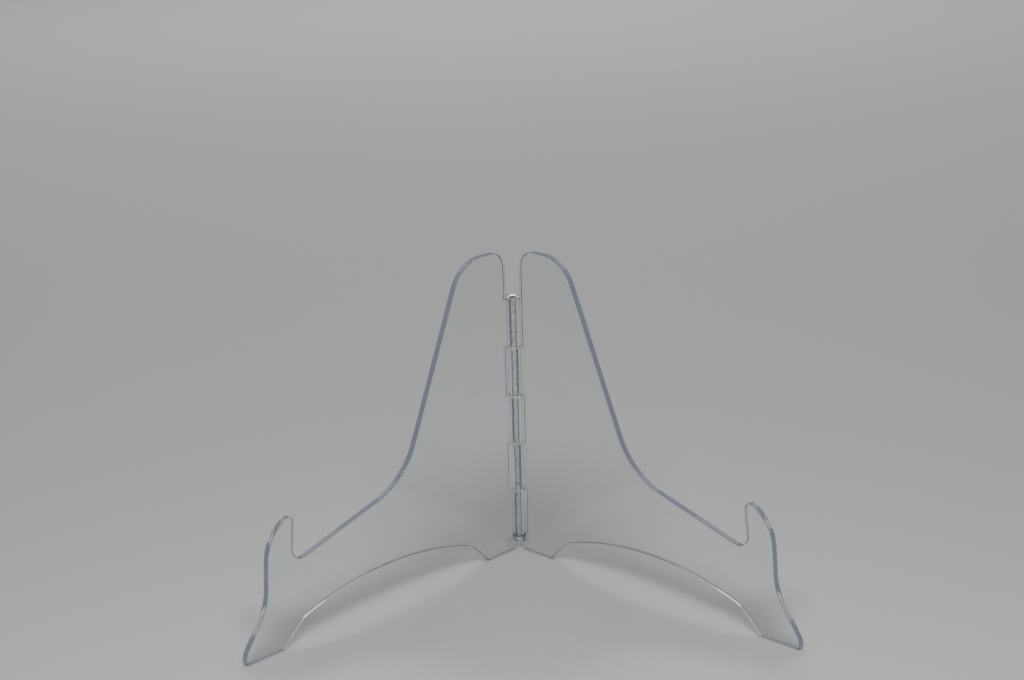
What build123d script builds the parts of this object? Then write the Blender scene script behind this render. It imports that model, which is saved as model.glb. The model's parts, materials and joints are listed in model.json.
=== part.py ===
from build123d import *
import math
import os

# Clear acrylic folding display stand for one large plate. Millimetres, +Z up, front towards -Y.
# Two upright sheet wings open forwards as a V from a barrel hinge at the back. The origin is on
# the table, at the centre of the open stand's footprint.

# Wings
SHEET = 4.0
WING_LENGTH = 226.3
WING_HEIGHT = 205.0
OPEN_ANGLE = 90.0
FACE_GAP = 0.3
EDGE_ROUND = 0.4

# Front edge, from the toe up to the tip of the hook. Headings are degrees from straight up.
TOE_RADIUS = 3.0
TOE_HEADING = 5.0
INSTEP_RADIUS = 11.0
INSTEP_HEADING = 34.5
INSTEP_RUN = 19.6
ANKLE_RADIUS = 34.0
SHIN_HEADING = 4.5
SHIN_RUN = 17.5
BROW_RADIUS = 28.0
BROW_HEADING = 61.9
NOSE_RADIUS = 4.5

# Notch behind the hook, ramp under the plate and mast behind it
HOOK_BACK_HEADING = 186.5
HOOK_BACK_RUN = 16.75
NOTCH_RADIUS = 6.0
RAMP_HEADING = 74.0
RAMP_RUN = 61.0
CRADLE_RADIUS = 50.0
MAST_HEADING = 23.0
MAST_FRONT_RADIUS = 26.0
MAST_BACK_RADIUS = 12.0

# Arch between the two feet of each wing: straight and steep at the feet, then a knee and one long
# shallow crown. Slopes are degrees from level.
ARCH_CENTRE = 114.0
ARCH_HALF_WIDTH = 85.0
ARCH_FOOT_SLOPE = 45.0
ARCH_FOOT_RUN = 17.8
ARCH_KNEE_RADIUS = 14.0
ARCH_CROWN_SLOPE = 18.5
HEEL_HEIGHT = 6.0
HEEL_RADIUS = 1.0

# Barrel hinge: five tube knuckles on one pin, a washer in each gap between them. The wing owning
# each knuckle is named from the bottom up.
KNUCKLE_OWNERS = ["left", "right", "left", "right", "left"]
KNUCKLE_NAMES = ["bottom", "lower", "middle", "upper", "top"]
KNUCKLE_RADIUS = 5.0
KNUCKLE_LENGTH = 32.0
KNUCKLE_CHAMFER = 0.3
BARREL_BOTTOM = 10.0
BARREL_CLEARANCE = 0.7
PIN_RADIUS = 2.0
PIN_RUNNING_FIT = 0.05
PIN_CHAMFER = 0.3
WASHER_THICKNESS = 0.5
WASHER_PLAY = 0.1
WASHER_RADIUS = 4.8
WASHER_BORE = 2.1

# Caps on the pin's ends
RETAINER_RADIUS = 4.5
RETAINER_THICKNESS = 2.5
HEAD_RADIUS = 5.0
HEAD_RIM = 1.0
HEAD_HEIGHT = 3.0
HEAD_SOCKET = 1.6

# Derived sizes. A cut's depth goes right through the sheet and past its face.
KNUCKLE_PITCH = KNUCKLE_LENGTH + WASHER_THICKNESS + WASHER_PLAY
KNUCKLE_GAPS = len(KNUCKLE_OWNERS) - 1
BARREL_TOP = BARREL_BOTTOM + KNUCKLE_GAPS * KNUCKLE_PITCH + KNUCKLE_LENGTH
REAR_EDGE = KNUCKLE_RADIUS + BARREL_CLEARANCE
CUT_DEPTH = FACE_GAP + SHEET + EDGE_ROUND


def direction(heading):
    """Unit vector in the sheet for a heading in degrees from straight up, positive to the rear."""
    angle = math.radians(heading)
    return Vector(math.sin(angle), math.cos(angle))


class Pen:
    """Draws an outline of straight runs and tangent bends, starting at a point and a heading."""

    def __init__(self, start, heading):
        self.point = Vector(*start)
        self.heading = heading
        self.edges = []

    def add(self, edge):
        self.edges.append(edge)
        self.point = edge @ 1

    def run(self, length):
        self.add(Line(self.point, self.point + length * direction(self.heading)))

    def run_to_height(self, height):
        self.run((height - self.point.Y) / direction(self.heading).Y)

    def run_to_length(self, length):
        self.run((length - self.point.X) / direction(self.heading).X)

    def bend(self, radius, heading):
        self.add(JernArc(self.point, direction(self.heading), radius, self.heading - heading))
        self.heading = heading


def wing_outline():
    """Closed outline of a wing: X back from the toe, Y up from the table."""
    pen = Pen((TOE_RADIUS, 0), -90)
    pen.bend(TOE_RADIUS, TOE_HEADING)
    pen.bend(INSTEP_RADIUS, INSTEP_HEADING)
    pen.run(INSTEP_RUN)
    pen.bend(ANKLE_RADIUS, SHIN_HEADING)
    pen.run(SHIN_RUN)
    pen.bend(BROW_RADIUS, BROW_HEADING)
    pen.bend(NOSE_RADIUS, HOOK_BACK_HEADING)

    pen.run(HOOK_BACK_RUN)
    pen.bend(NOTCH_RADIUS, RAMP_HEADING)
    pen.run(RAMP_RUN)
    pen.bend(CRADLE_RADIUS, MAST_HEADING)

    shoulder_rise = MAST_FRONT_RADIUS * (1 - math.sin(math.radians(MAST_HEADING)))
    pen.run_to_height(WING_HEIGHT - shoulder_rise)
    pen.bend(MAST_FRONT_RADIUS, 90)
    pen.run_to_length(WING_LENGTH - REAR_EDGE - MAST_BACK_RADIUS)
    pen.bend(MAST_BACK_RADIUS, 180)

    # The rear edge steps back to the hinge axis beside the barrel and at the heel.
    pen.run_to_height(BARREL_TOP)
    pen.heading = 90
    pen.run_to_length(WING_LENGTH - FACE_GAP)
    pen.heading = 180
    pen.run_to_height(HEEL_RADIUS)
    pen.bend(HEEL_RADIUS, 270)
    pen.run_to_length(ARCH_CENTRE + ARCH_HALF_WIDTH)

    foot_slope = math.radians(ARCH_FOOT_SLOPE)
    crown_slope = math.radians(ARCH_CROWN_SLOPE)
    knee_length = ARCH_KNEE_RADIUS * (math.sin(foot_slope) - math.sin(crown_slope))
    crown_length = ARCH_HALF_WIDTH - ARCH_FOOT_RUN * math.cos(foot_slope) - knee_length
    pen.heading = ARCH_FOOT_SLOPE - 90
    pen.run(ARCH_FOOT_RUN)
    pen.bend(ARCH_KNEE_RADIUS, ARCH_CROWN_SLOPE - 90)
    pen.bend(crown_length / math.sin(crown_slope), -ARCH_CROWN_SLOPE - 90)
    pen.bend(ARCH_KNEE_RADIUS, -ARCH_FOOT_SLOPE - 90)
    pen.run(ARCH_FOOT_RUN)
    pen.add(Line(pen.point, (TOE_RADIUS, 0)))
    return pen.edges


def knuckle_bottom(index):
    """Height of a knuckle's lower end, counted from 0 at the bottom."""
    return BARREL_BOTTOM + index * KNUCKLE_PITCH


def cylinder_up(radius, bottom, height):
    """Cylinder on the hinge axis from a height upwards."""
    return Pos(0, 0, bottom) * Cylinder(radius, height, align=(Align.CENTER, Align.CENTER, Align.MIN))


def wing_sheet():
    """Whole sheet before the hinge is cut, lying along -X from the hinge axis, its inner face at -Y."""
    plane = Plane(origin=(-WING_LENGTH, FACE_GAP, 0), x_dir=(1, 0, 0), z_dir=(0, -1, 0))
    sheet = extrude(plane * make_face(wing_outline()), -SHEET)
    faces = sheet.faces().filter_by(Axis.Y)
    return fillet(faces.edges(), EDGE_ROUND)


def wing(side):
    """One wing: its own knuckles' zones are coped to the tube, and the rest clears the barrel."""
    sheet = wing_sheet()
    corner = (Align.MAX, Align.MIN, Align.MIN)
    clear_height = BARREL_TOP + KNUCKLE_CHAMFER - HEEL_HEIGHT
    relief = Pos(0, 0, HEEL_HEIGHT) * Box(REAR_EDGE, CUT_DEPTH, clear_height, align=corner)
    cope = None
    for index, owner in enumerate(KNUCKLE_OWNERS):
        if owner == side:
            bottom = knuckle_bottom(index)
            zone = Box(REAR_EDGE, CUT_DEPTH, KNUCKLE_LENGTH, align=corner)
            relief = relief - Pos(0, 0, bottom) * zone
            tube = cylinder_up(KNUCKLE_RADIUS, bottom, KNUCKLE_LENGTH)
            cope = tube if cope is None else cope + tube
    return sheet - relief - cope


def knuckle(index):
    """Tube on the pin, chamfered at both ends."""
    bottom = knuckle_bottom(index)
    tube = cylinder_up(KNUCKLE_RADIUS, bottom, KNUCKLE_LENGTH)
    tube = chamfer(tube.edges().filter_by(GeomType.CIRCLE), KNUCKLE_CHAMFER)
    return tube - cylinder_up(PIN_RADIUS + PIN_RUNNING_FIT, bottom, KNUCKLE_LENGTH)


def hinge_pin():
    """Steel rod through all five knuckles and into both caps."""
    bottom = BARREL_BOTTOM - RETAINER_THICKNESS
    rod = cylinder_up(PIN_RADIUS, bottom, BARREL_TOP + HEAD_SOCKET - bottom)
    return chamfer(rod.edges().filter_by(GeomType.CIRCLE), PIN_CHAMFER)


def pin_retaining_cap():
    """Ring pushed onto the pin's lower end."""
    bottom = BARREL_BOTTOM - RETAINER_THICKNESS
    ring = cylinder_up(RETAINER_RADIUS, bottom, RETAINER_THICKNESS)
    ring = chamfer(ring.edges().filter_by(GeomType.CIRCLE), KNUCKLE_CHAMFER)
    return ring - cylinder_up(PIN_RADIUS, bottom, RETAINER_THICKNESS)


def pin_head_cap():
    """Domed head on the pin's upper end, turned about the hinge axis, with a blind socket."""
    dome_rise = HEAD_HEIGHT - HEAD_RIM
    axis_end = (0, HEAD_HEIGHT)
    rim_end = (HEAD_RADIUS, HEAD_RIM)
    ball_radius = (HEAD_RADIUS**2 + dome_rise**2) / (2 * dome_rise)
    profile = [
        Line((0, 0), (HEAD_RADIUS, 0)),
        Line((HEAD_RADIUS, 0), rim_end),
        RadiusArc(rim_end, axis_end, -ball_radius),
        Line(axis_end, (0, 0)),
    ]
    head = revolve(Plane.XZ * make_face(profile), Axis.Z)
    return Pos(0, 0, BARREL_TOP) * head - cylinder_up(PIN_RADIUS, BARREL_TOP, HEAD_SOCKET)


def hinge_washers():
    """Four separate washers. Each lies against a knuckle of the left wing."""
    washers = []
    for index in range(KNUCKLE_GAPS):
        bottom = knuckle_bottom(index) + KNUCKLE_LENGTH
        if KNUCKLE_OWNERS[index] == "right":
            bottom += WASHER_PLAY
        ring = cylinder_up(WASHER_RADIUS, bottom, WASHER_THICKNESS)
        washers.append(ring - cylinder_up(WASHER_BORE, bottom, WASHER_THICKNESS))
    return Compound(children=washers)


def hinge_frame_nodes():
    """Every node, with the hinge axis on the Z axis and the wings opened to the front."""
    swing = OPEN_ANGLE / 2
    left = Rot(0, 0, 90 - swing) * wing("left")
    right = mirror(Rot(0, 0, 90 - swing) * wing("right"), about=Plane.YZ)
    nodes = {"left_wing": left, "right_wing": right}
    for index, owner in enumerate(KNUCKLE_OWNERS):
        nodes[f"{owner}_knuckle_{KNUCKLE_NAMES[index]}"] = knuckle(index)
    nodes["hinge_pin"] = hinge_pin()
    nodes["pin_head_cap"] = pin_head_cap()
    nodes["pin_retaining_cap"] = pin_retaining_cap()
    nodes["hinge_washers"] = hinge_washers()
    return nodes


nodes = hinge_frame_nodes()

# The footprint runs from the wings' toes to the back of the barrel, and the origin is at its centre.
front = nodes["left_wing"].bounding_box().min.Y
HINGE_Y = -(front + KNUCKLE_RADIUS) / 2
print("hinge axis at Y", round(HINGE_Y, 4))

os.makedirs("parts", exist_ok=True)
for name, shape in nodes.items():
    export_step(Pos(0, HINGE_Y, 0) * shape, f"parts/{name}.step")
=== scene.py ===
import json
import math

import bmesh
import bpy
from mathutils import Matrix, Vector


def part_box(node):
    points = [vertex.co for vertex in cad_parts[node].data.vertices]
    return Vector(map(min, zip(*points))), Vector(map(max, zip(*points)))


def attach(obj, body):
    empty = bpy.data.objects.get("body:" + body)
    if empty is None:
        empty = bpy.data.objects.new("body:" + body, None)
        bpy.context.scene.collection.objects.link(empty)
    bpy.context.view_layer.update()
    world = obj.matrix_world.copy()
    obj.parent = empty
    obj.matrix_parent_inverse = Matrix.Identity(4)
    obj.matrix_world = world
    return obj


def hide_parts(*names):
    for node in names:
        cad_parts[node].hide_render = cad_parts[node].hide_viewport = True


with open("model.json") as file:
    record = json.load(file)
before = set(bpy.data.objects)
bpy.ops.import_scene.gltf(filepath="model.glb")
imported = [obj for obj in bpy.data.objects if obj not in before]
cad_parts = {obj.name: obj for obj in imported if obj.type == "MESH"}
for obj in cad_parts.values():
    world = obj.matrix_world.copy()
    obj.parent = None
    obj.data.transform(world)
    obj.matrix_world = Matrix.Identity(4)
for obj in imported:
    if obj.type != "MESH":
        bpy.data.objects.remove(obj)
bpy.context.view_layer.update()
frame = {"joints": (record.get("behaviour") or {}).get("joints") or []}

# A folding display stand of clear acrylic: two upright sheet wings on a barrel hinge. Lengths in
# capitals are millimetres and are multiplied by MM where a mesh or a texture is made.
MM = 0.001

# Wing sheet. X runs back from the toe and Y up from the table. Headings are degrees from straight
# up, positive to the rear.
SHEET = 4.0
FACE_GAP = 0.3
WING_LENGTH = 226.3
WING_HEIGHT = 205.0
WING_ANGLE = 45.0
EDGE_ROUND = 0.4
REAR_EDGE = 5.7
ARCH_CENTRE = 114.0
ARCH_HALF_WIDTH = 85.0
ARCH_FOOT_SLOPE = 45.0
ARCH_FOOT_RUN = 17.8
ARCH_KNEE_RADIUS = 14.0
ARCH_CROWN_SLOPE = 18.5
MAST_FRONT_RADIUS = 26.0
MAST_HEADING = 23.0
MAST_BACK_RADIUS = 12.0
TOE_RADIUS = 3.0

# Front edge, notch and cradle: each row is a bend's radius, the heading after it, and the straight
# run that follows.
FRONT_EDGE = (
    (TOE_RADIUS, 5, 0),
    (11, 34.5, 19.6),
    (34, 4.5, 17.5),
    (28, 61.9, 0),
    (4.5, 186.5, 16.75),
    (6, 74, 61),
    (50, MAST_HEADING, 0),
)

# Rims, corners and the bond between a wing and its knuckles
HEEL_HEIGHT = 6.0
HEEL_RADIUS = 1.0
HEEL_CORNER = 0.6
ROOT_FILLET = 0.3
BOND_DEPTH = 0.05

# Barrel hinge, from the bottom up
KNUCKLES = [
    ("left", "left_knuckle_bottom"),
    ("right", "right_knuckle_lower"),
    ("left", "left_knuckle_middle"),
    ("right", "right_knuckle_upper"),
    ("left", "left_knuckle_top"),
]
PIN_RADIUS = 2.0
PIN_ROUND = 0.3
BORE_RADIUS = 2.05
KNUCKLE_ROUND = 0.3
BORE_ROUND = 0.1
WASHER_RADIUS = 4.8
WASHER_BORE = 2.1
WASHER_THICKNESS = 0.5
WASHER_PLAY = 0.1
WASHER_ROUND = 0.12
WASHER_BORE_ROUND = 0.08
HEAD_RIM = 1.0
HEAD_SOCKET = 1.6
HEAD_ROUND = 0.2

# Mesh fineness
ARC_STEP = 2.5
ARC_LEAST = 6
ARC_CHORD = 1.5
ROUND_STEPS = 4
SHEET_STEPS = 6
LATHE_STEPS = 96
DOME_STEPS = 16
SHARP_ANGLE = 35.0

hinge = Vector(frame["joints"][0]["pos_m"])


def direction(heading):
    """Unit vector in the sheet for a heading in degrees from straight up, positive to the rear."""
    angle = math.radians(heading)
    return Vector((math.sin(angle), math.cos(angle)))


class Pen:
    """Traces an outline of straight runs and tangent bends as points. Coped points are listed."""

    def __init__(self, start, heading):
        self.at = Vector(start)
        self.heading = heading
        self.points = [self.at.copy()]
        self.coped = set()

    def step(self, point):
        self.at = Vector(point)
        self.points.append(self.at.copy())

    def run(self, length):
        self.step(self.at + length * direction(self.heading))

    def run_to(self, axis, value):
        self.run((value - self.at[axis]) / direction(self.heading)[axis])

    def bend(self, radius, heading):
        turn = heading - self.heading
        side = math.copysign(90, turn)
        centre = self.at + radius * direction(self.heading + side)
        length = radius * math.radians(abs(turn))
        steps = max(ARC_LEAST, math.ceil(abs(turn) / ARC_STEP), math.ceil(length / ARC_CHORD))
        for i in range(1, steps + 1):
            self.step(centre - radius * direction(self.heading + turn * i / steps + side))
        self.heading = heading

    def turn(self, heading):
        self.heading = heading


def finger(pen, low, high):
    """A tab that reaches from the rear edge to its knuckle, between two heights."""
    pen.run_to(1, high + ROOT_FILLET)
    pen.bend(ROOT_FILLET, 90)
    for height in (high, low):
        pen.step((WING_LENGTH, height))
        pen.coped.add(len(pen.points) - 1)
    pen.turn(270)
    pen.run_to(0, WING_LENGTH - REAR_EDGE + ROOT_FILLET)
    pen.bend(ROOT_FILLET, 180)


def wing_outline(side):
    """The closed outline of a wing as points, and which of them lie on the knuckles."""
    pen = Pen((TOE_RADIUS, 0), -90)
    for radius, heading, run in FRONT_EDGE:
        pen.bend(radius, heading)
        if run:
            pen.run(run)
    rise = MAST_FRONT_RADIUS * (1 - math.sin(math.radians(MAST_HEADING)))
    pen.run_to(1, WING_HEIGHT - rise)
    pen.bend(MAST_FRONT_RADIUS, 90)
    pen.run_to(0, WING_LENGTH - REAR_EDGE - MAST_BACK_RADIUS)
    pen.bend(MAST_BACK_RADIUS, 180)
    for owner, node in reversed(KNUCKLES):
        if owner == side:
            low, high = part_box(node)
            finger(pen, low[2] / MM, high[2] / MM)
    pen.run_to(1, HEEL_HEIGHT + ROOT_FILLET)
    pen.bend(ROOT_FILLET, 90)
    pen.run_to(0, WING_LENGTH - FACE_GAP - HEEL_CORNER)
    pen.bend(HEEL_CORNER, 180)
    pen.run_to(1, HEEL_RADIUS)
    pen.bend(HEEL_RADIUS, 270)
    foot_slope = math.radians(ARCH_FOOT_SLOPE)
    crown_slope = math.radians(ARCH_CROWN_SLOPE)
    knee_length = ARCH_KNEE_RADIUS * (math.sin(foot_slope) - math.sin(crown_slope))
    crown_length = ARCH_HALF_WIDTH - ARCH_FOOT_RUN * math.cos(foot_slope) - knee_length
    pen.run_to(0, ARCH_CENTRE + ARCH_HALF_WIDTH)
    pen.turn(ARCH_FOOT_SLOPE - 90)
    pen.run(ARCH_FOOT_RUN)
    pen.bend(ARCH_KNEE_RADIUS, ARCH_CROWN_SLOPE - 90)
    pen.bend(crown_length / math.sin(crown_slope), -ARCH_CROWN_SLOPE - 90)
    pen.bend(ARCH_KNEE_RADIUS, -ARCH_FOOT_SLOPE - 90)
    pen.run(ARCH_FOOT_RUN)
    return pen.points, pen.coped


def inset_vectors(points):
    """For each point of a closed outline, the move into the material that insets it by 1."""
    vectors = []
    for i, point in enumerate(points):
        before = (point - points[i - 1]).normalized()
        after = (points[(i + 1) % len(points)] - point).normalized()
        first = Vector((before.y, -before.x))
        second = Vector((after.y, -after.x))
        vectors.append((first + second) / (1 + first.dot(second)))
    return vectors


def sheet_levels():
    """Depths through the sheet, each with the outline's inset, so that both rims are round."""
    rim = []
    for i in range(ROUND_STEPS + 1):
        t = math.radians(90 * i / ROUND_STEPS)
        rim.append((EDGE_ROUND * (1 - math.cos(t)), EDGE_ROUND * (1 - math.sin(t))))
    span = SHEET - 2 * EDGE_ROUND
    middle = [(EDGE_ROUND + span * i / SHEET_STEPS, 0) for i in range(1, SHEET_STEPS)]
    return rim + middle + [(SHEET - depth, inset) for depth, inset in reversed(rim)]


def finished(bm, name, materials, body, replaced):
    """Turns a bmesh into a piece with smooth faces, sharp corners and flat sheet normals."""
    bmesh.ops.recalc_face_normals(bm, faces=bm.faces)
    mesh = bpy.data.meshes.new(name)
    bm.to_mesh(mesh)
    bm.free()
    mesh.shade_smooth()
    mesh.set_sharp_from_angle(angle=math.radians(SHARP_ANGLE))
    for material in materials:
        mesh.materials.append(material)
    piece = bpy.data.objects.new(name, mesh)
    bpy.context.scene.collection.objects.link(piece)
    normals = piece.modifiers.new("normals", "WEIGHTED_NORMAL")
    normals.mode = "FACE_AREA"
    normals.weight = 100
    normals.keep_sharp = True
    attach(piece, body)
    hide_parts(replaced)
    return piece


def make_wing(side, materials):
    """A wing's sheet: flat faces in the first material, its edge all round in the second."""
    points, coped = wing_outline(side)
    insets = inset_vectors(points)
    levels = sheet_levels()
    lengths = [0.0]
    for i, point in enumerate(points):
        lengths.append(lengths[-1] + (points[(i + 1) % len(points)] - point).length)
    cope_radius = (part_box(KNUCKLES[0][1])[1][0]) / MM - BOND_DEPTH
    swing = math.radians(WING_ANGLE)
    hand = 1 if side == "left" else -1

    bm = bmesh.new()
    uv = bm.loops.layers.uv.new("sheet")
    rows = []
    for depth, inset in levels:
        y = FACE_GAP + depth
        row = []
        for i, point in enumerate(points):
            flat = point + insets[i] * inset
            x = flat.x - WING_LENGTH
            if i in coped:
                x = -math.sqrt(cope_radius**2 - y**2)
            across = hand * (x * math.cos(swing) - y * math.sin(swing))
            along = x * math.sin(swing) + y * math.cos(swing)
            row.append(bm.verts.new((across * MM, along * MM + hinge.y, flat.y * MM)))
        rows.append(row)

    count = len(points)
    for j in range(len(rows) - 1):
        for i in range(count):
            k = (i + 1) % count
            face = bm.faces.new((rows[j][i], rows[j][k], rows[j + 1][k], rows[j + 1][i]))
            face.material_index = 1
            corners = ((i, j), (i + 1, j), (i + 1, j + 1), (i, j + 1))
            for loop, (a, b) in zip(face.loops, corners):
                loop[uv].uv = (lengths[a] * MM, levels[b][0] * MM)
    for row in (rows[0], rows[-1]):
        face = bm.faces.new(row)
        for loop, point in zip(face.loops, points):
            loop[uv].uv = point * MM
        face.normal_update()
        bmesh.ops.triangulate(bm, faces=[face], ngon_method="EAR_CLIP")
    node = f"{side}_wing"
    return finished(bm, f"{side}_wing_sheet", materials, side, node)


def rounded(corner, before, after, radius):
    """Points that round a corner of a profile, from the side of one neighbour to the other's."""
    corner = Vector(corner)
    a = (Vector(before) - corner).normalized()
    b = (Vector(after) - corner).normalized()
    start, end = corner + a * radius, corner + b * radius
    centre = corner + (a + b) * radius
    points = []
    for i in range(ROUND_STEPS + 1):
        t = math.radians(90 * i / ROUND_STEPS)
        points.append(centre + (start - centre) * math.cos(t) + (end - centre) * math.sin(t))
    return points


def profile_of(corners):
    """A closed profile of (radius, height, rounding) corners as points."""
    points = []
    for i, (r, z, radius) in enumerate(corners):
        before = corners[i - 1][:2]
        after = corners[(i + 1) % len(corners)][:2]
        points += rounded((r, z), before, after, radius) if radius else [Vector((r, z))]
    return points


def ring(bm, profile, bottom):
    """Turns a closed profile about the hinge axis. Points on the axis are one vertex each."""
    uv = bm.loops.layers.uv.verify()
    columns = []
    for point in profile:
        place = Vector((hinge.x, hinge.y, bottom + point.y * MM))
        if point.x == 0:
            columns.append([bm.verts.new(place)] * LATHE_STEPS)
            continue
        column = []
        for i in range(LATHE_STEPS):
            t = math.tau * i / LATHE_STEPS
            out = Vector((math.cos(t), math.sin(t), 0)) * point.x * MM
            column.append(bm.verts.new(place + out))
        columns.append(column)
    for j, column in enumerate(columns):
        after = columns[(j + 1) % len(columns)]
        for i in range(LATHE_STEPS):
            k = (i + 1) % LATHE_STEPS
            corners = []
            for vert in (column[i], column[k], after[k], after[i]):
                if vert not in corners:
                    corners.append(vert)
            if len(corners) < 3:
                continue
            face = bm.faces.new(corners)
            for loop in face.loops:
                out = loop.vert.co - hinge
                around = math.atan2(out.y, out.x)
                if around < 0 and i > LATHE_STEPS // 2 and k == 0:
                    around += math.tau
                loop[uv].uv = (around * math.hypot(out.x, out.y), out.z)


def tube(radius, bore, height, round_out, round_in):
    return profile_of([
        (bore, 0, round_in),
        (radius, 0, round_out),
        (radius, height, round_out),
        (bore, height, round_in),
    ])


def turned(name, profile, bottom, material, body, replaced):
    """A single turned piece on the hinge axis."""
    bm = bmesh.new()
    bm.loops.layers.uv.new("sheet")
    ring(bm, profile, bottom)
    return finished(bm, name, [material], body, replaced)


# ---- materials ----


def new_material(name):
    material = bpy.data.materials.new(name)
    material.use_nodes = True
    tree = material.node_tree
    return material, tree, tree.nodes["Principled BSDF"]


def node(tree, kind, links=(), **values):
    """A node with its properties and inputs set. Links are (input, output socket) pairs."""
    made = tree.nodes.new(kind)
    for key, value in values.items():
        if hasattr(made, key):
            setattr(made, key, value)
        else:
            made.inputs[key.replace("_", " ")].default_value = value
    for key, output in links:
        tree.links.new(output, made.inputs[key])
    return made


def maths(tree, operation, a, b):
    """A Math node on outputs or plain numbers."""
    made = tree.nodes.new("ShaderNodeMath")
    made.operation = operation
    for socket, value in zip(made.inputs, (a, b)):
        if isinstance(value, (int, float)):
            socket.default_value = value
        else:
            tree.links.new(value, socket)
    return made.outputs[0]


def ramp(tree, value, low, high, to_low=0.0, to_high=1.0):
    """A value spread from one range to another and held inside it."""
    made = node(tree, "ShaderNodeMapRange", [("Value", value)])
    made.interpolation_type = "SMOOTHSTEP"
    made.inputs["From Min"].default_value = low
    made.inputs["From Max"].default_value = high
    made.inputs["To Min"].default_value = to_low
    made.inputs["To Max"].default_value = to_high
    return made.outputs["Result"]


def sheet_place(tree, turn=0.0, stretch=(1, 1)):
    """Sheet coordinates in metres: along and up a face, or along and across the edge."""
    flat = node(tree, "ShaderNodeUVMap", uv_map="sheet")
    made = node(tree, "ShaderNodeMapping", [("Vector", flat.outputs["UV"])])
    made.inputs["Rotation"].default_value = (0, 0, math.radians(turn))
    made.inputs["Scale"].default_value = (*stretch, 1)
    return made.outputs["Vector"]


def noise(tree, place, size, detail=2.0, roughness=0.5):
    """Noise whose features are about size millimetres across."""
    made = node(tree, "ShaderNodeTexNoise", [("Vector", place)])
    made.inputs["Scale"].default_value = 1 / (size * MM)
    made.inputs["Detail"].default_value = detail
    made.inputs["Roughness"].default_value = roughness
    return made.outputs["Fac"]


def bump(tree, height, depth, normal=None):
    """A bump whose full height is depth millimetres."""
    made = node(tree, "ShaderNodeBump", [("Height", height)])
    made.inputs["Distance"].default_value = depth * MM
    if normal is not None:
        tree.links.new(normal, made.inputs["Normal"])
    return made.outputs["Normal"]


def mix_colour(tree, share, a, b):
    """A blend from one colour to another. A Mix node has sockets of the same name for each type."""
    made = tree.nodes.new("ShaderNodeMix")
    made.data_type = "RGBA"
    tree.links.new(share, made.inputs["Factor"])
    for name, colour in (("A", a), ("B", b)):
        for socket in made.inputs:
            if socket.name == name and socket.type == "RGBA":
                socket.default_value = (*colour, 1)
    return next(socket for socket in made.outputs if socket.type == "RGBA")


ACRYLIC_IOR = 1.49
ACRYLIC_TINT = (0.55, 0.75, 0.78)
ACRYLIC_DENSITY = 4.0
# Painted glow: rays inside the acrylic past LAST_REFLECTION glossy bounces or LAST_BOUNCE bounces
# emit this blue-grey in place of the piped light they would still carry.
PAINTED_PIPED_GLOW = (0.070, 0.078, 0.105)
LAST_REFLECTION = 3.5
LAST_BOUNCE = 11.5


def acrylic_body(tree, shader):
    """Clear acrylic's inside: a faint tint by depth, and a painted glow: an emission of dim
    blue-grey that stands in for light piped so far along the sheet that its path is cut off."""
    shader.inputs["IOR"].default_value = ACRYLIC_IOR
    tint = node(tree, "ShaderNodeVolumeAbsorption")
    tint.inputs["Color"].default_value = (*ACRYLIC_TINT, 1)
    tint.inputs["Density"].default_value = ACRYLIC_DENSITY
    tree.links.new(tint.outputs["Volume"], tree.nodes["Material Output"].inputs["Volume"])
    path = node(tree, "ShaderNodeLightPath")
    reflected = maths(tree, "GREATER_THAN", path.outputs["Glossy Depth"], LAST_REFLECTION)
    bounced = maths(tree, "GREATER_THAN", path.outputs["Ray Depth"], LAST_BOUNCE)
    painted_glow_mask = maths(tree, "MAXIMUM", reflected, bounced)
    # Painted glow: the emission is on only where a path is cut off.
    shader.inputs["Emission Color"].default_value = (*PAINTED_PIPED_GLOW, 1)
    tree.links.new(painted_glow_mask, shader.inputs["Emission Strength"])


def scratches(tree, turn, size, share):
    """Fine hairlines in one direction: long thin noise, cut off near its peaks."""
    place = sheet_place(tree, turn, (0.012, 1))
    cut = 1 - share
    return ramp(tree, noise(tree, place, size, 1.0), cut, cut + 0.03)


def acrylic_face():
    """Polished sheet face: faint waviness of the casting, hairlines, wiped smears and dust."""
    material, tree, shader = new_material("acrylic_face")
    shader.inputs["Transmission Weight"].default_value = 1.0
    acrylic_body(tree, shader)
    hair = maths(tree, "MAXIMUM", scratches(tree, -57, 0.5, 0.27), scratches(tree, 83, 0.42, 0.28))
    hair = maths(tree, "MAXIMUM", scratches(tree, 24, 0.35, 0.27), hair)
    patches = ramp(tree, noise(tree, sheet_place(tree), 30, 3), 0.5, 0.68)
    hair = maths(tree, "MULTIPLY", hair, patches)
    smear_place = sheet_place(tree, -18, (0.35, 1))
    smear = ramp(tree, noise(tree, smear_place, 14, 6, 0.62), 0.52, 0.74)
    cells = node(tree, "ShaderNodeTexVoronoi", [("Vector", sheet_place(tree))])
    cells.inputs["Scale"].default_value = 1 / (7 * MM)
    dust = ramp(tree, cells.outputs["Distance"], 0.012, 0.03, 1.0, 0.0)
    dusty = maths(tree, "MULTIPLY", dust, 0.5)
    marks = maths(tree, "ADD", maths(tree, "MULTIPLY", hair, 0.22), dusty)
    rough = maths(tree, "ADD", maths(tree, "MULTIPLY", smear, 0.035), marks)
    tree.links.new(rough, shader.inputs["Roughness"])
    tone = mix_colour(tree, smear, (0.935, 0.957, 0.952), (0.90, 0.925, 0.92))
    tree.links.new(tone, shader.inputs["Base Color"])
    wave = bump(tree, noise(tree, sheet_place(tree), 22, 1), 0.018)
    tree.links.new(bump(tree, hair, -0.0015, wave), shader.inputs["Normal"])
    return material


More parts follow.
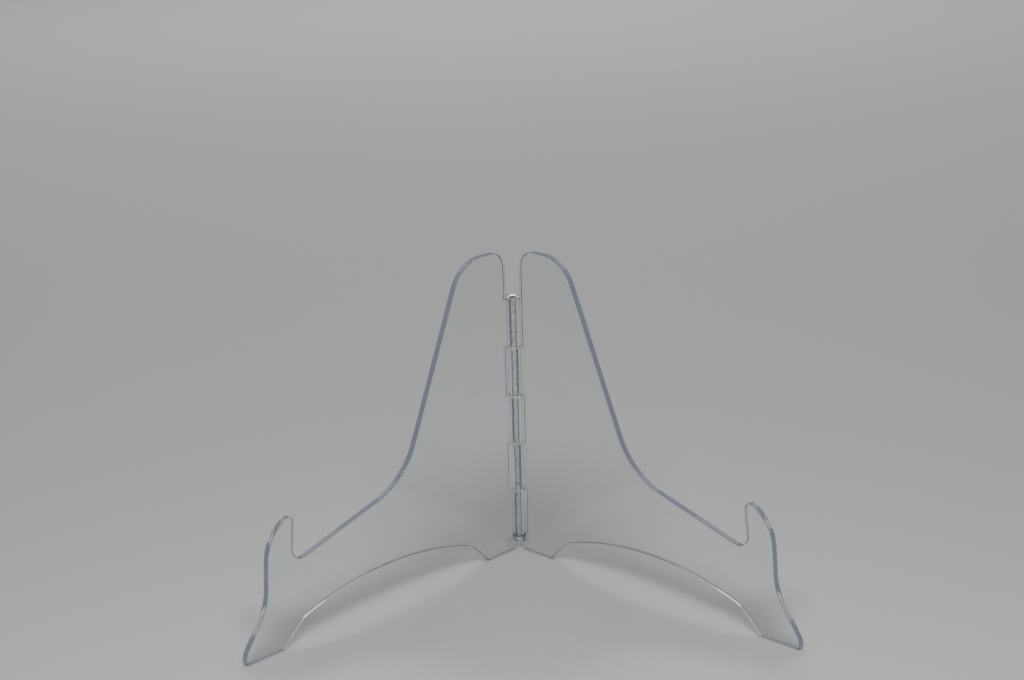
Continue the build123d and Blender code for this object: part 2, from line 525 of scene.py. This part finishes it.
def acrylic_edge():
    """Laser-cut, flame-polished edge: fine cut lines across it, slow ripples, a soft haze."""
    material, tree, shader = new_material("acrylic_edge")
    shader.inputs["Transmission Weight"].default_value = 0.94
    acrylic_body(tree, shader)
    lines = noise(tree, sheet_place(tree, 3, (1, 0.03)), 0.35, 3, 0.6)
    ripples = noise(tree, sheet_place(tree, 0, (1, 0.25)), 5, 2)
    haze = ramp(tree, noise(tree, sheet_place(tree, 0, (0.3, 1)), 2.2, 4, 0.6), 0.4, 0.75)
    cut = maths(tree, "MULTIPLY", ramp(tree, lines, 0.35, 0.75), 0.05)
    rough = maths(tree, "ADD", maths(tree, "MULTIPLY", haze, 0.08), cut)
    tree.links.new(rough, shader.inputs["Roughness"])
    tone = mix_colour(tree, haze, (0.94, 0.957, 0.972), (0.89, 0.912, 0.94))
    tree.links.new(tone, shader.inputs["Base Color"])
    rippled = bump(tree, ripples, 0.03)
    tree.links.new(bump(tree, lines, 0.0018, rippled), shader.inputs["Normal"])
    return material


def acrylic_knuckle():
    """Turned acrylic rod: fine rings round it, and a frosted, drilled bore."""
    material, tree, shader = new_material("acrylic_knuckle")
    shader.inputs["Transmission Weight"].default_value = 0.97
    acrylic_body(tree, shader)
    rings = noise(tree, sheet_place(tree, 0, (0.02, 1)), 0.22, 3, 0.6)
    haze = ramp(tree, noise(tree, sheet_place(tree, 0, (0.4, 1)), 4, 4, 0.6), 0.4, 0.8)
    turning = maths(tree, "MULTIPLY", rings, 0.04)
    rough = maths(tree, "ADD", maths(tree, "MULTIPLY", haze, 0.05), turning)
    tree.links.new(rough, shader.inputs["Roughness"])
    tone = mix_colour(tree, haze, (0.96, 0.97, 0.98), (0.91, 0.93, 0.95))
    tree.links.new(tone, shader.inputs["Base Color"])
    tree.links.new(bump(tree, rings, 0.0012), shader.inputs["Normal"])
    return material


def steel():
    """Bright turned steel: tool rings, uneven polish and a little darkening."""
    material, tree, shader = new_material("steel_turned")
    shader.inputs["Metallic"].default_value = 1.0
    rings = noise(tree, sheet_place(tree, 0, (0.01, 1)), 0.12, 4, 0.65)
    stain = ramp(tree, noise(tree, sheet_place(tree), 3, 5, 0.6), 0.42, 0.72)
    dulled = maths(tree, "MULTIPLY", stain, 0.12)
    rough = maths(tree, "ADD", ramp(tree, rings, 0.3, 0.7, 0.16, 0.3), dulled)
    tree.links.new(rough, shader.inputs["Roughness"])
    tone = mix_colour(tree, stain, (0.66, 0.66, 0.65), (0.50, 0.50, 0.50))
    tree.links.new(tone, shader.inputs["Base Color"])
    tree.links.new(bump(tree, rings, 0.004), shader.inputs["Normal"])
    return material


def nylon():
    """Natural nylon washer: milky, slightly yellowed, with a fine moulded grain."""
    material, tree, shader = new_material("nylon_natural")
    shader.inputs["Subsurface Weight"].default_value = 0.35
    shader.inputs["Subsurface Radius"].default_value = (0.0012, 0.001, 0.0008)
    shader.inputs["Subsurface Scale"].default_value = 1.0
    mottle = noise(tree, sheet_place(tree), 1.6, 4, 0.6)
    grain = noise(tree, sheet_place(tree), 0.14, 2)
    tone = mix_colour(tree, mottle, (0.86, 0.85, 0.80), (0.76, 0.745, 0.69))
    tree.links.new(tone, shader.inputs["Base Color"])
    tree.links.new(ramp(tree, mottle, 0.3, 0.7, 0.38, 0.52), shader.inputs["Roughness"])
    tree.links.new(bump(tree, grain, 0.006), shader.inputs["Normal"])
    return material


# ---- the object ----

face_look = acrylic_face()
edge_look = acrylic_edge()
knuckle_look = acrylic_knuckle()
steel_look = steel()
nylon_look = nylon()

for side in ("left", "right"):
    make_wing(side, [face_look, edge_look])

for owner, name in KNUCKLES:
    low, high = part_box(name)
    radius = high[0] / MM
    height = (high[2] - low[2]) / MM
    profile = tube(radius, BORE_RADIUS, height, KNUCKLE_ROUND, BORE_ROUND)
    turned(f"{name}_tube", profile, low[2], knuckle_look, owner, name)

low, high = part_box("hinge_pin")
pin_height = (high[2] - low[2]) / MM
pin = profile_of([
    (0, 0, 0),
    (PIN_RADIUS, 0, PIN_ROUND),
    (PIN_RADIUS, pin_height, PIN_ROUND),
    (0, pin_height, 0),
])
turned("hinge_pin_rod", pin, low[2], steel_look, "left", "hinge_pin")

low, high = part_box("pin_retaining_cap")
cap = tube(high[0] / MM, PIN_RADIUS, (high[2] - low[2]) / MM, KNUCKLE_ROUND, BORE_ROUND)
turned("pin_retaining_ring", cap, low[2], steel_look, "left", "pin_retaining_cap")

low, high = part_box("pin_head_cap")
head_radius = high[0] / MM
head_height = (high[2] - low[2]) / MM
rise = head_height - HEAD_RIM
ball = (head_radius**2 + rise**2) / (2 * rise)
dome_span = math.asin(head_radius / ball)
dome = []
for i in range(DOME_STEPS + 1):
    t = dome_span * (1 - i / DOME_STEPS)
    dome.append(Vector((ball * math.sin(t), head_height - ball * (1 - math.cos(t)))))
dome[-1].x = 0
underside = [
    Vector((0, HEAD_SOCKET)),
    Vector((PIN_RADIUS, HEAD_SOCKET)),
    Vector((PIN_RADIUS, 0)),
    Vector((head_radius - HEAD_ROUND, 0)),
    Vector((head_radius - 0.3 * HEAD_ROUND, 0.3 * HEAD_ROUND)),
    Vector((head_radius, HEAD_ROUND)),
]
turned("pin_head_dome", underside + dome, low[2], steel_look, "left", "pin_head_cap")

washers = bmesh.new()
washers.loops.layers.uv.new("sheet")
washer = tube(WASHER_RADIUS, WASHER_BORE, WASHER_THICKNESS, WASHER_ROUND, WASHER_BORE_ROUND)
for owner, name in KNUCKLES[:-1]:
    play = WASHER_PLAY if owner == "right" else 0
    ring(washers, washer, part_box(name)[1][2] + play * MM)
finished(washers, "hinge_washer_set", [nylon_look], "left", "hinge_washers")

# ---- floor, light and camera, all in metres ----

# The floor lies FLOOR_GAP millimetres low, so that the soles don't share its plane.
FLOOR_SIZE = 40.0
FLOOR_GAP = 0.15
FLOOR_COLOUR = (0.44, 0.44, 0.444)
bm = bmesh.new()
bmesh.ops.create_grid(bm, x_segments=1, y_segments=1, size=FLOOR_SIZE / 2)
floor_mesh = bpy.data.meshes.new("floor")
bm.to_mesh(floor_mesh)
bm.free()
floor = bpy.data.objects.new("floor", floor_mesh)
bpy.context.scene.collection.objects.link(floor)
floor_look, tree, shader = new_material("floor_paper")
shader.inputs["Base Color"].default_value = (*FLOOR_COLOUR, 1)
shader.inputs["Roughness"].default_value = 0.7
floor_mesh.materials.append(floor_look)
floor.location.z = -FLOOR_GAP * MM

# Colour of the surroundings by the height of a direction: 0 is level and 1 straight up
SKY = (
    (0.0, (0.165, 0.167, 0.172)),
    (0.15, (0.235, 0.24, 0.25)),
    (0.45, (0.22, 0.23, 0.25)),
    (0.58, (0.54, 0.54, 0.54)),
    (0.76, (0.54, 0.54, 0.54)),
    (0.86, (0.12, 0.12, 0.12)),
)
world = bpy.data.worlds.new("studio")
bpy.context.scene.world = world
world.use_nodes = True
tree = world.node_tree
sky = node(tree, "ShaderNodeTexCoord")
split = node(tree, "ShaderNodeSeparateXYZ", [("Vector", sky.outputs["Generated"])])
fade = node(tree, "ShaderNodeValToRGB", [("Fac", split.outputs["Z"])])
stops = fade.color_ramp.elements
given_stops = len(stops)
for i, (height, colour) in enumerate(SKY):
    stop = stops[i] if i < given_stops else stops.new(height)
    stop.position = height
    stop.color = (*colour, 1)
tree.links.new(fade.outputs["Color"], tree.nodes["Background"].inputs["Color"])


def softbox(name, place, target, size, power):
    """A rectangular lamp at a place, facing a target. Power is in watts."""
    lamp = bpy.data.lights.new(name, "AREA")
    lamp.shape = "RECTANGLE"
    lamp.size, lamp.size_y = size
    lamp.energy = power
    made = bpy.data.objects.new(name, lamp)
    made.location = place
    made.rotation_mode = "QUATERNION"
    made.rotation_quaternion = (Vector(target) - Vector(place)).to_track_quat("-Z", "Y")
    bpy.context.scene.collection.objects.link(made)


softbox("left_box", (-0.80, 0.83, 1.2), (0, 0, 0.05), (0.7, 0.7), 1.3)
softbox("right_box", (0.80, 0.83, 1.2), (0, 0, 0.05), (0.7, 0.7), 1.3)
softbox("front_box", (0, -0.55, 0.8), (0, -0.35, 0), (0.5, 0.3), 7.5)
softbox("far_box", (0, 3.0, 3.2), (0, 4.2, 0), (2.0, 1.0), 110)

CAMERA_ELEVATION = math.radians(17)
CAMERA_DISTANCE = 1.05
CAMERA_ROLL = math.radians(-1.65)
CAMERA_AIM = (-0.00117, -0.0925, 0.17286)
CAMERA_LENS = 62.86
SENSOR_WIDTH = 36
aim = Vector((0, hinge.y, 0)) + Vector(CAMERA_AIM)
back = Vector((0, -math.cos(CAMERA_ELEVATION), math.sin(CAMERA_ELEVATION)))
lens = bpy.data.cameras.new("camera")
lens.sensor_width = SENSOR_WIDTH
lens.lens = CAMERA_LENS
camera = bpy.data.objects.new("camera", lens)
camera.location = aim + back * CAMERA_DISTANCE
camera.rotation_mode = "QUATERNION"
roll = Matrix.Rotation(CAMERA_ROLL, 4, "Z").to_quaternion()
camera.rotation_quaternion = (-back).to_track_quat("-Z", "Y") @ roll
bpy.context.scene.collection.objects.link(camera)
bpy.context.scene.camera = camera
